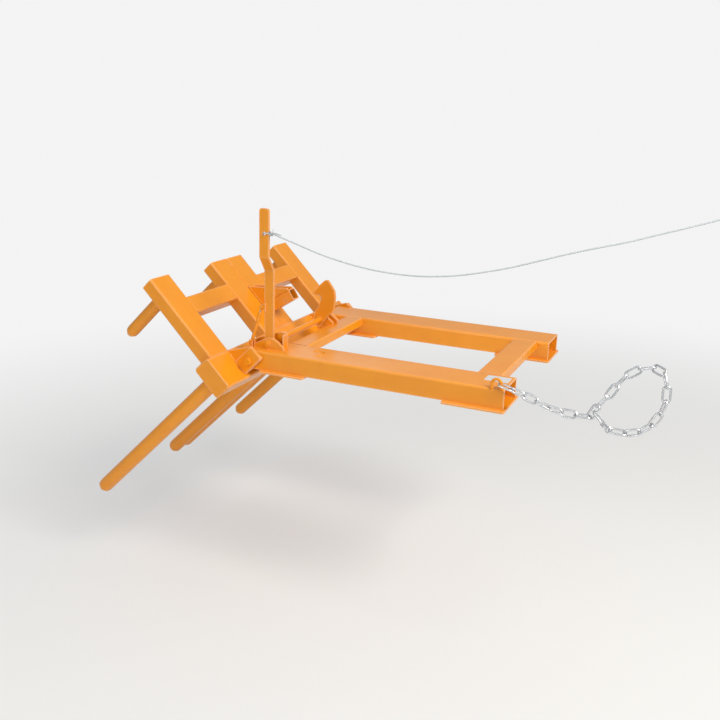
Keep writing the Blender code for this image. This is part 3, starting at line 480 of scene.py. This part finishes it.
def grow(name, mesh, build, values, material):
    """Runs a Geometry Nodes tree on a mesh and keeps the result as a plain mesh.

    build(tree, start, sockets) adds the nodes and returns the last geometry; values are the named inputs.
    """
    group = bpy.data.node_groups.new(name + "_nodes", "GeometryNodeTree")
    group.interface.new_socket("Geometry", in_out="INPUT", socket_type="NodeSocketGeometry")
    known = {}
    for key, value in values.items():
        kind = "NodeSocketInt" if isinstance(value, int) else "NodeSocketFloat"
        known[key] = input_socket(group, key, kind, value).identifier
    known["Finish"] = input_socket(group, "Finish", "NodeSocketMaterial", None).identifier
    group.interface.new_socket("Geometry", in_out="OUTPUT", socket_type="NodeSocketGeometry")
    tree = Tree(group)
    start = tree.add("NodeGroupInput")
    sockets = {key: start.outputs[key] for key in known}
    shape = build(tree, start.outputs[0], sockets)
    real = tree.add("GeometryNodeRealizeInstances", None, {0: shape})
    dressed = tree.add("GeometryNodeSetMaterial", None, {0: real.outputs[0], "Material": sockets["Finish"]})
    tree.add("NodeGroupOutput", None, {0: dressed.outputs[0]})
    source = bpy.data.objects.new(name + "_source", mesh)
    bpy.context.scene.collection.objects.link(source)
    modifier = source.modifiers.new(name, "NODES")
    modifier.node_group = group
    for key, value in values.items():
        modifier[known[key]] = value
    modifier[known["Finish"]] = material
    seen = source.evaluated_get(bpy.context.evaluated_depsgraph_get())
    result = bpy.data.meshes.new_from_object(seen)
    source.modifiers.remove(modifier)
    bpy.data.objects.remove(source)
    result.name = name
    bm = bmesh.new()
    bm.from_mesh(result)
    bmesh.ops.recalc_face_normals(bm, faces=bm.faces)
    bm.to_mesh(result)
    bm.free()
    piece = bpy.data.objects.new(name, result)
    bpy.context.scene.collection.objects.link(piece)
    result.shade_smooth()
    return piece


def smooth_route(points, count):
    """A smooth line through the route's own points, sampled many times."""
    result = []
    last = len(points) - 1
    for i in range(last):
        a, b, c, d = points[max(i - 1, 0)], points[i], points[i + 1], points[min(i + 2, last)]
        for k in range(count):
            t = k / count
            bend = (-a + 3 * b - 3 * c + d) * t * t * t
            pull = (2 * a - 5 * b + 4 * c - d) * t * t
            result.append((2 * b + (c - a) * t + pull + bend) / 2)
    result.append(points[last])
    return result


def even_points(route, count):
    """A number of points at even distances along a smooth route."""
    fine = smooth_route([Vector(point) for point in route], 40)
    travel = [0.0]
    for a, b in zip(fine, fine[1:]):
        travel.append(travel[-1] + (b - a).length)
    result = []
    k = 0
    for i in range(count):
        target = travel[-1] * i / (count - 1)
        while k < len(travel) - 2 and travel[k + 1] < target:
            k += 1
        share = (target - travel[k]) / (travel[k + 1] - travel[k])
        result.append(fine[k].lerp(fine[k + 1], share))
    return result


def route_length(points):
    return sum((b - a).length for a, b in zip(points, points[1:]))


def chain_routes():
    """The run from the pocket's eye to the snap hook, and the loop that comes back to its ring."""
    lead = [(-0.419, 0.01975, 0.0215), (-0.421, -0.060, 0.000), (-0.424, -0.120, -0.019)]
    lead += [(-0.425, -0.174, -0.036), (-0.425, -0.235, -0.042), (-0.425, -0.294, -0.041)]
    way = Vector((0, math.cos(SNAP_TURN), math.sin(SNAP_TURN)))
    hold = SNAP_CENTRE - way * 0.0435 + Vector((0, -0.0062, 0))
    loop = [lead[-1], (-0.425, -0.3144, 0.000), (-0.421, -0.343, 0.036), (-0.403, -0.365, 0.074)]
    loop += [(-0.384, -0.388, 0.104), (-0.370, -0.425, 0.130), (-0.376, -0.470, 0.145)]
    loop += [(-0.398, -0.502, 0.144), (-0.415, -0.516, 0.120), (-0.424, -0.525, 0.082)]
    loop += [(-0.425, -0.523, 0.043), (-0.425, -0.510, 0.000), (-0.425, -0.487, -0.038)]
    loop += [(-0.425, -0.452, -0.066), (-0.425, -0.409, -0.077), tuple(hold)]
    return lead, loop


def link_shape(tree, start, sockets):
    """A welded round-wire link on every point, turned and stretched as the point says."""
    ring = tree.add("GeometryNodeCurvePrimitiveCircle", None, {"Resolution": 28, "Radius": sockets["Bend radius"]})
    place = tree.add("GeometryNodeInputPosition")
    parts = tree.add("ShaderNodeSeparateXYZ", None, {0: place.outputs[0]})
    side = Number(tree, parts.outputs[0])
    height = Number(tree, parts.outputs[1])
    pulled = side * 1e6
    slide = pulled.most(-1.0).least(1.0) * Number(tree, sockets["Straight half"])
    offset = tree.add("ShaderNodeCombineXYZ", None, {0: slide})
    oval = tree.add("GeometryNodeSetPosition", None, {"Geometry": ring.outputs[0], "Offset": offset.outputs[0]})
    wire = Number(tree, sockets["Wire radius"])
    middle = (1 - (side * 400.0).size()).most(0.0) * (height * 1e6).most(0.0).least(1.0)
    swell = 1 + middle * 0.16
    fat = tree.add("GeometryNodeSetCurveRadius", None, {"Curve": oval.outputs[0], "Radius": swell})
    profile = tree.add("GeometryNodeCurvePrimitiveCircle", None, {"Resolution": 12, "Radius": wire})
    solid = tree.add("GeometryNodeCurveToMesh", None, {"Curve": fat.outputs[0], "Profile Curve": profile.outputs[0]})
    along = tree.add("GeometryNodeInputNamedAttribute", {"data_type": "FLOAT_VECTOR"}, {"Name": "along"})
    across = tree.add("GeometryNodeInputNamedAttribute", {"data_type": "FLOAT_VECTOR"}, {"Name": "across"})
    stretch = tree.add("GeometryNodeInputNamedAttribute", {"data_type": "FLOAT_VECTOR"}, {"Name": "stretch"})
    settings = {"primary_axis": "X", "secondary_axis": "Y"}
    turn = tree.add("FunctionNodeAxesToRotation", settings, {0: along.outputs[0], 1: across.outputs[0]})
    values = {"Points": start, "Instance": solid.outputs[0], "Rotation": turn.outputs[0], "Scale": stretch.outputs[0]}
    return tree.add("GeometryNodeInstanceOnPoints", None, values).outputs[0]


def make_chain():
    """The safety chain's own links, which lie one in the next."""
    lead, loop = chain_routes()
    fine = smooth_route([Vector(p) for p in lead], 40)
    count = round(route_length(fine) / LINK_PITCH)
    rest = round(route_length(smooth_route([Vector(p) for p in loop], 40)) / LINK_PITCH)
    points = even_points(lead, count + 1) + even_points(loop, rest + 1)[1:]
    mesh = bpy.data.meshes.new("chain_points")
    bend = (LINK_WIDTH - WIRE) / 2
    straight_half = LINK_PITCH / 2 + WIRE / 2 - bend - LINK_PLAY
    middles, alongs, acrosses, stretches = [], [], [], []
    for i, (a, b) in enumerate(zip(points, points[1:])):
        along = (b - a).normalized()
        level = (Vector((1, 0, 0)) - along * along.x).normalized()
        below = level.cross(along)
        roll = math.radians(-5 - LEAD_TWIST * i if i < count else 20 + LOOP_TWIST * (i - count + 1))
        middles.append((a + b) / 2)
        alongs.append(along)
        acrosses.append(level * math.cos(roll) + below * math.sin(roll))
        stretches.append(Vector(((b - a).length / LINK_PITCH, 1, 1)))
    mesh.from_pydata(middles, [], [])
    for name, values in (("along", alongs), ("across", acrosses), ("stretch", stretches)):
        layer = mesh.attributes.new(name, "FLOAT_VECTOR", "POINT")
        layer.data.foreach_set("vector", [c for v in values for c in v])
    sizes = {"Wire radius": WIRE / 2, "Bend radius": bend, "Straight half": straight_half}
    chain = grow("chain_links", mesh, link_shape, sizes, ZINC)
    settle(chain, "fork_frame", ("chain",))


def weld_shape(tree, start, sockets):
    """A rippled bead along every line of the mesh."""
    curve = tree.add("GeometryNodeMeshToCurve", None, {0: start})
    values = {"Curve": curve.outputs[0], "Length": sockets["Step"]}
    even = tree.add("GeometryNodeResampleCurve", {"mode": "LENGTH"}, values)
    travel = Number(tree, tree.add("GeometryNodeSplineParameter").outputs["Length"])
    beat = (travel * (2 * math.pi) / Number(tree, sockets["Ripple pitch"])).sine()
    place = tree.add("GeometryNodeInputPosition")
    wander = tree.add("ShaderNodeTexNoise", {"noise_dimensions": "3D"}, {"Vector": place.outputs[0], "Scale": 75.0})
    loose = Number(tree, wander.outputs[0]) - 0.5
    radius = 1 + beat * Number(tree, sockets["Ripple depth"]) + loose * 0.5
    fat = tree.add("GeometryNodeSetCurveRadius", None, {"Curve": even.outputs[0], "Radius": radius})
    values = {"Resolution": sockets["Sides"], "Radius": sockets["Bead radius"]}
    profile = tree.add("GeometryNodeCurvePrimitiveCircle", None, values)
    values = {"Curve": fat.outputs[0], "Profile Curve": profile.outputs[0], "Fill Caps": True}
    return tree.add("GeometryNodeCurveToMesh", None, values).outputs[0]


def make_welds(name, lines, body, radius=0.0030):
    """Painted weld beads: each line is (points, closed)."""
    points, edges = [], []
    for line, closed in lines:
        first = len(points)
        points += [tuple(p) for p in line]
        edges += [(i, i + 1) for i in range(first, len(points) - 1)]
        if closed:
            edges.append((len(points) - 1, first))
    mesh = bpy.data.meshes.new(name + "_lines")
    mesh.from_pydata(points, edges, [])
    sizes = {"Step": 0.0014, "Ripple pitch": 0.0052, "Ripple depth": 0.13, "Bead radius": radius, "Sides": 7}
    beads = grow(name, mesh, weld_shape, sizes, ROUND)
    return settle(beads, body)


def from_holder(x, forward, up):
    """A point of the holder's own frame, in the model's frame at rest."""
    y = forward * math.cos(TILT) + up * math.sin(TILT)
    z = up * math.cos(TILT) - forward * math.sin(TILT)
    return PIVOT + Vector((x, y, z))


def from_shaft(x, forward, up):
    return SHAFT + Vector((x, forward, up))


def from_frame(x, y, z):
    return Vector((x, y, z))


def straight(place, a, b):
    return [place(*a), place(*b)], False


def circle(place, plane, fixed, centre, radius, count=28):
    """A round seam in the plane across one axis: 'x' or 'y'."""
    line = []
    for k in range(count):
        angle = 2 * math.pi * k / count
        u = centre[0] + radius * math.cos(angle)
        v = centre[1] + radius * math.sin(angle)
        line.append(place(fixed, u, v) if plane == "x" else place(u, fixed, v))
    return line, True


def box_seam(place, plane, fixed, low, high, bend, sides="abcd"):
    """A rounded rectangle across one axis, or some of its four sides."""
    corners = [(low[0], low[1]), (high[0], low[1]), (high[0], high[1]), (low[0], high[1])]
    spot = {"x": lambda u, v: place(fixed, u, v), "z": lambda u, v: place(u, v, fixed)}
    lines = []
    if sides == "abcd":
        line = []
        middles = [(1, 1, 180), (-1, 1, 270), (-1, -1, 0), (1, -1, 90)]
        for (u, v), (du, dv, first) in zip(corners, middles):
            for k in range(4):
                angle = math.radians(first + 30 * k)
                line.append(spot[plane](u + du * bend + bend * math.cos(angle), v + dv * bend + bend * math.sin(angle)))
        return [(line, True)]
    for i, letter in enumerate("abcd"):
        if letter in sides:
            a, b = Vector(corners[i]), Vector(corners[(i + 1) % 4])
            trim = (b - a).normalized() * bend
            a, b = a + trim, b - trim
            lines.append(([spot[plane](*a), spot[plane](*b)], False))
    return lines


def frame_welds():
    """Every seam of the fork frame."""
    lines = []
    for y0, y1 in MEMBER_SPANS:
        for side in (-1, 1):
            low, high = (y0, MEMBER_LOW), (y1, POCKET_TOP)
            lines += box_seam(from_frame, "x", side * MEMBER_END, low, high, 0.007, "abd")
    for x in (-0.383, -0.347):
        y0, y1 = (0.895, 1.026) if x < -0.36 else (0.907, 1.039)
        for edge in (-1, 1):
            lines.append(straight(from_frame, (x + edge * 0.005, y0, POCKET_TOP), (x + edge * 0.005, y1, POCKET_TOP)))
    for x in (0.072, 0.115):
        for edge in (-1, 1):
            start = (x + edge * 0.005, 0.910, POCKET_TOP)
            lines.append(straight(from_frame, start, (x + edge * 0.005, 0.930, POCKET_TOP)))
    lines.append(straight(from_frame, (-0.376, 0.8995, POCKET_TOP), (-0.344, 0.8995, POCKET_TOP)))
    lines.append(straight(from_frame, (-0.342, 0.9047, POCKET_TOP), (-0.342, 0.9047, 0.066)))
    for side in (-1, 1):
        for edge in (-1, 1):
            x = side * POCKET_X + edge * POCKET_HALF
            for y0, y1 in RETAINER_SPANS:
                lines.append(straight(from_frame, (x, y0, POCKET_LOW - GAP), (x, y1, POCKET_LOW - GAP)))
    for y in EYE_LEGS:
        line = []
        for k in range(12):
            angle = math.pi * k / 6
            x = EYE.x + EYE_LEG_RADIUS * math.cos(angle)
            line.append(Vector((x, y + EYE_LEG_RADIUS * math.sin(angle), POCKET_TOP)))
        lines.append((line, True))
    for edge in (-1, 1):
        x = CLEVIS_X + edge * 0.0105
        lines.append(straight(from_frame, (x, 1.032, POCKET_TOP), (x, 1.045, POCKET_TOP)))
    make_welds("frame_weld_beads", lines, "fork_frame", 0.0026)


def holder_welds():
    """Every seam of the tilting holder: thin beads in corners, and broad ones where rounded tubes lie side by side."""
    lines = []
    for x in (-OUTER_UPRIGHT_X, -INNER_UPRIGHT_X, INNER_UPRIGHT_X, OUTER_UPRIGHT_X):
        low, high = (x - UPRIGHT_HALF, BAR_BACK), (x + UPRIGHT_HALF, BAR_FRONT)
        lines += box_seam(from_holder, "z", BEAM_TOP, low, high, 0.008, "abcd")
    broad = [straight(from_holder, (0, BAR_BACK + 0.0015, low), (0, BAR_BACK + 0.0015, high))
             for low, high in ((BEAM_TOP, 0.140), (0.325, BAR_TOP - 0.045))]
    lines.append(straight(from_holder, (0, BAR_FRONT - 0.002, BEAM_TOP), (0, BAR_FRONT - 0.002, BAR_TOP)))
    for side in (-1, 1):
        for x, groove in ((0.1204, 0.1180), (0.4148, 0.4172)):
            low, high = (BAR_BACK, CROSSBAR_LOW), (BAR_FRONT, CROSSBAR_TOP)
            lines += box_seam(from_holder, "x", side * x, low, high, 0.008, "ac")
            for face in (BAR_BACK + 0.0024, BAR_FRONT - 0.0024):
                start, stop = (side * groove, face, CROSSBAR_LOW + 0.004), (side * groove, face, CROSSBAR_TOP - 0.004)
                broad.append(straight(from_holder, start, stop))
        low, high = (BEAM_BACK, BEAM_LOW), (BEAM_FRONT, BEAM_TOP)
        lines += box_seam(from_holder, "x", side * BEAM_CAP_X, low, high, 0.011)
        for x in LOWER_PRONG_X:
            lines.append(circle(from_holder, "y", BEAM_FRONT + 0.001, (side * x, LOWER_PRONG_UP), 0.031))
        for x in (OUTER_UPRIGHT_X, INNER_UPRIGHT_X):
            lines.append(circle(from_holder, "y", BAR_FRONT + 0.001, (side * x, UPPER_PRONG_UP), 0.0262))
        for out in (-1, 1):
            near = side * POCKET_X + out * (POCKET_HALF + 0.013)
            lines.append(straight(from_holder, (near, BEAM_BACK - 0.001, -0.028), (near, BEAM_BACK - 0.001, 0.078)))
            near -= out * 0.010
            lines.append(straight(from_holder, (near, BEAM_BACK - 0.001, -0.028), (near, BEAM_BACK - 0.001, 0.078)))
    holder_plates(lines)
    make_welds("holder_weld_beads", lines, "drum_holder", SEAM)
    make_welds("holder_groove_beads", broad, "drum_holder", GROOVE_SEAM)


def holder_plates(lines):
    """The seams of the catch tube and its gussets."""
    back = (math.cos(CATCH_SLOPE), math.sin(CATCH_SLOPE))
    foot = CATCH_UP + (BAR_BACK + CATCH_BACK) * math.tan(CATCH_SLOPE)
    for x in (0.0, 0.048):
        lines.append(straight(from_holder, (x, BAR_BACK - 0.001, foot - 0.026), (x, BAR_BACK - 0.001, foot + 0.024)))
    for height in (foot - 0.026, foot + 0.026):
        lines.append(straight(from_holder, (0.004, BAR_BACK - 0.001, height), (0.046, BAR_BACK - 0.001, height)))
    rise = CATCH_HALF_HEIGHT
    for x in (0.0, 0.008, 0.042, 0.048):
        start = (x, -0.078 - rise * back[1], CATCH_UP + 0.004 * back[1] + rise * back[0])
        lines.append(straight(from_holder, start, (x, BAR_BACK - 0.003, foot + rise / back[0])))
        lines.append(straight(from_holder, (x, BAR_BACK - 0.001, foot + 0.028), (x, BAR_BACK - 0.001, 0.318)))


def latch_welds():
    """The seams that hold the lever, the hook and the ear."""
    lines = []
    for x in (-0.3750, -0.3650, 0.0520, 0.0640):
        lines.append(circle(from_shaft, "x", x, (0, 0), 0.0135))
    for up in (0.126, 0.162):
        lines.append(straight(from_shaft, (-0.3752, 0.0125, up), (-0.3752, 0.0200, up)))
    make_welds("latch_weld_beads", lines, "latch", 0.0022)


def rope_route():
    route = [(-0.408, 0.9407, 0.4675), (-0.408, 0.914, 0.463), (-0.407, 0.893, 0.456)]
    route += [(-0.404, 0.836, 0.438), (-0.396, 0.734, 0.406), (-0.388, 0.655, 0.386)]
    route += [(-0.380, 0.578, 0.371), (-0.371, 0.502, 0.361), (-0.359, 0.409, 0.355)]
    route += [(-0.347, 0.319, 0.357), (-0.334, 0.230, 0.367), (-0.320, 0.144, 0.384)]
    route += [(-0.303, 0.044, 0.409), (-0.285, -0.054, 0.440), (-0.265, -0.155, 0.472)]
    route += [(-0.247, -0.243, 0.497), (-0.228, -0.332, 0.521), (-0.211, -0.412, 0.547)]
    route += [(-0.192, -0.494, 0.573), (-0.177, -0.555, 0.593), (-0.164, -0.610, 0.611)]
    route += [(-0.158, -0.634, 0.619)]
    return route


def laid_tube(name, points, radius, material, around=12, lay=0.030, closed_ends=True):
    """A rope of three strands laid round each other, with a map for its yarns."""
    bm = bmesh.new()
    layer = bm.loops.layers.uv.new("lay")
    rings, travels = [], []
    travel = 0.0
    side = None
    for i, point in enumerate(points):
        way = (points[min(i + 1, len(points) - 1)] - points[max(i - 1, 0)]).normalized()
        if side is None:
            side = way.orthogonal().normalized()
        side = (side - way * side.dot(way)).normalized()
        other = way.cross(side)
        if i:
            travel += (point - points[i - 1]).length
        ring = []
        for k in range(around):
            angle = 2 * math.pi * k / around
            phase = angle - 2 * math.pi * travel / lay
            reach = radius * (0.80 + 0.20 * abs(math.cos(1.5 * phase)))
            ring.append(bm.verts.new(point + (side * math.cos(angle) + other * math.sin(angle)) * reach))
        rings.append(ring)
        travels.append(travel)
    for i, (a, b) in enumerate(zip(rings, rings[1:])):
        for k in range(around):
            m = (k + 1) % around
            face = bm.faces.new((a[k], a[m], b[m], b[k]))
            chart = ((k, i), (k + 1, i), (k + 1, i + 1), (k, i + 1))
            for loop, (u, v) in zip(face.loops, chart):
                loop[layer].uv = (u / around, travels[v])
    if closed_ends:
        bm.faces.new(reversed(rings[0]))
        bm.faces.new(rings[-1])
    bmesh.ops.recalc_face_normals(bm, faces=bm.faces)
    return add_piece(name, bm, material)


def knot_points(centre, size, way, count=90):
    """An overhand knot drawn tight round a centre."""
    way = way.normalized()
    side = way.orthogonal().normalized()
    other = way.cross(side)
    result = []
    for k in range(count + 1):
        t = 2 * math.pi * k / count
        u = math.sin(t) + 2 * math.sin(2 * t)
        v = math.cos(t) - 2 * math.cos(2 * t)
        w = -math.sin(3 * t)
        result.append(centre + (side * u * 0.36 + other * v * 0.36 + way * w * 0.62) * size)
    return result


def make_rope():
    """The release rope with its knot behind the lever, the turn through the hole and its free end."""
    points = even_points(rope_route(), 560)
    rope = laid_tube("release_rope", points, ROPE_DIAMETER / 2, ROPE)
    settle(rope, "latch", ("rope",))
    front = [(-0.404, 0.9395, 0.4690), (-0.402, 0.9440, 0.4693), (-0.3985, 0.9530, 0.4680)]
    front += [(-0.4000, 0.9595, 0.4655), (-0.408, 0.9625, 0.4650), (-0.4165, 0.9600, 0.4652)]
    front += [(-0.4178, 0.9520, 0.4668), (-0.4158, 0.9435, 0.4682), (-0.4120, 0.9390, 0.4688)]
    turn = laid_tube("rope_turn", even_points(front, 60), 0.0026, ROPE, 10, 0.026)
    knots = []
    middle = Vector((-0.408, 0.9325, 0.4672))
    tight = knot_points(middle, 0.0075, Vector((0, -1, -0.15)))
    knots.append(laid_tube("rope_knot", tight, 0.0027, ROPE, 10, 0.026, False))
    tail = [(-0.410, 0.9300, 0.4690), (-0.413, 0.9180, 0.4700), (-0.415, 0.9000, 0.4675), (-0.416, 0.8860, 0.4640)]
    knots.append(laid_tube("rope_tail", even_points(tail, 30), 0.0024, ROPE, 10, 0.026))
    wisp = [(-0.406, 0.9310, 0.4700), (-0.404, 0.9280, 0.4770), (-0.403, 0.9270, 0.4840)]
    knots.append(laid_tube("rope_wisp", even_points(wisp, 16), 0.0014, ROPE, 8, 0.020))
    last = points[-1]
    way = (points[-1] - points[-4]).normalized()
    end = knot_points(last + way * 0.004, 0.0080, way)
    knots.append(laid_tube("rope_end_knot", end, 0.0029, ROPE, 10, 0.026, False))
    for piece in [turn] + knots:
        settle(piece, "latch")
    length = route_length(points)


def make_label():
    """The blank plate on top of the left pocket, with rounded corners."""
    bm = bmesh.new()
    (left, near), (right, far) = LABEL_LOW, LABEL_HIGH
    corners = [(left, near), (right, near), (right, far), (left, far)]
    outline = []
    bend = LABEL_BEND
    middles = [(1, 1, 180), (-1, 1, 270), (-1, -1, 0), (1, -1, 90)]
    for (x, y), (dx, dy, first) in zip(corners, middles):
        for k in range(5):
            angle = math.radians(first + 22.5 * k)
            outline.append((x + dx * bend + bend * math.cos(angle), y + dy * bend + bend * math.sin(angle)))
    base = POCKET_TOP + 0.00005
    top = POCKET_TOP + 0.0007
    low = [bm.verts.new((x, y, base)) for x, y in outline]
    high = [bm.verts.new((x, y, top)) for x, y in outline]
    bm.faces.new(reversed(low))
    bm.faces.new(high)
    for i in range(len(low)):
        j = (i + 1) % len(low)
        bm.faces.new((low[i], low[j], high[j], high[i]))
    settle(add_piece("blank_label", bm, PLATE, False), "fork_frame")


def make_half_round():
    """The half-round seam on top of the left pocket."""
    line = []
    for k in range(15):
        angle = math.radians(25 - 185 * k / 14)
        x, y = MARK_CENTRE[0] + 0.030 * math.cos(angle), MARK_CENTRE[1] + 0.032 * math.sin(angle)
        line.append(Vector((x, y, POCKET_TOP)))
    line.insert(0, Vector((*MARK_TAIL, POCKET_TOP)))
    make_welds("half_round_seam", [(line, False)], "fork_frame", 0.0036)


def dress_nodes():
    """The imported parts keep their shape: joined triangles, softened edges and their finish."""
    for name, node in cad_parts.items():
        for spot in node.material_slots:
            spot.material = FINISHES.get(spot.material.name.split(".")[0], ORANGE)
        if name in SPECIAL:
            node.material_slots[0].material = SPECIAL[name]
        elif name.startswith(ROUND_NODES):
            node.material_slots[0].material = ROUND
        join = node.modifiers.new("join", "WELD")
        join.merge_threshold = 0.00002
        soft = node.modifiers.new("soft_edges", "BEVEL")
        soft.width = 0.0004 if name.startswith(("snap", "strut", "chain")) else 0.0009
        soft.segments = 2
        soft.limit_method = "ANGLE"
        soft.angle_limit = math.radians(38)
        soft.harden_normals = True


bpy.context.scene.view_settings.view_transform = "Standard"
place_camera()
make_studio()
dress_nodes()
make_rope()
make_chain()
frame_welds()
holder_welds()
latch_welds()
make_label()
make_half_round()
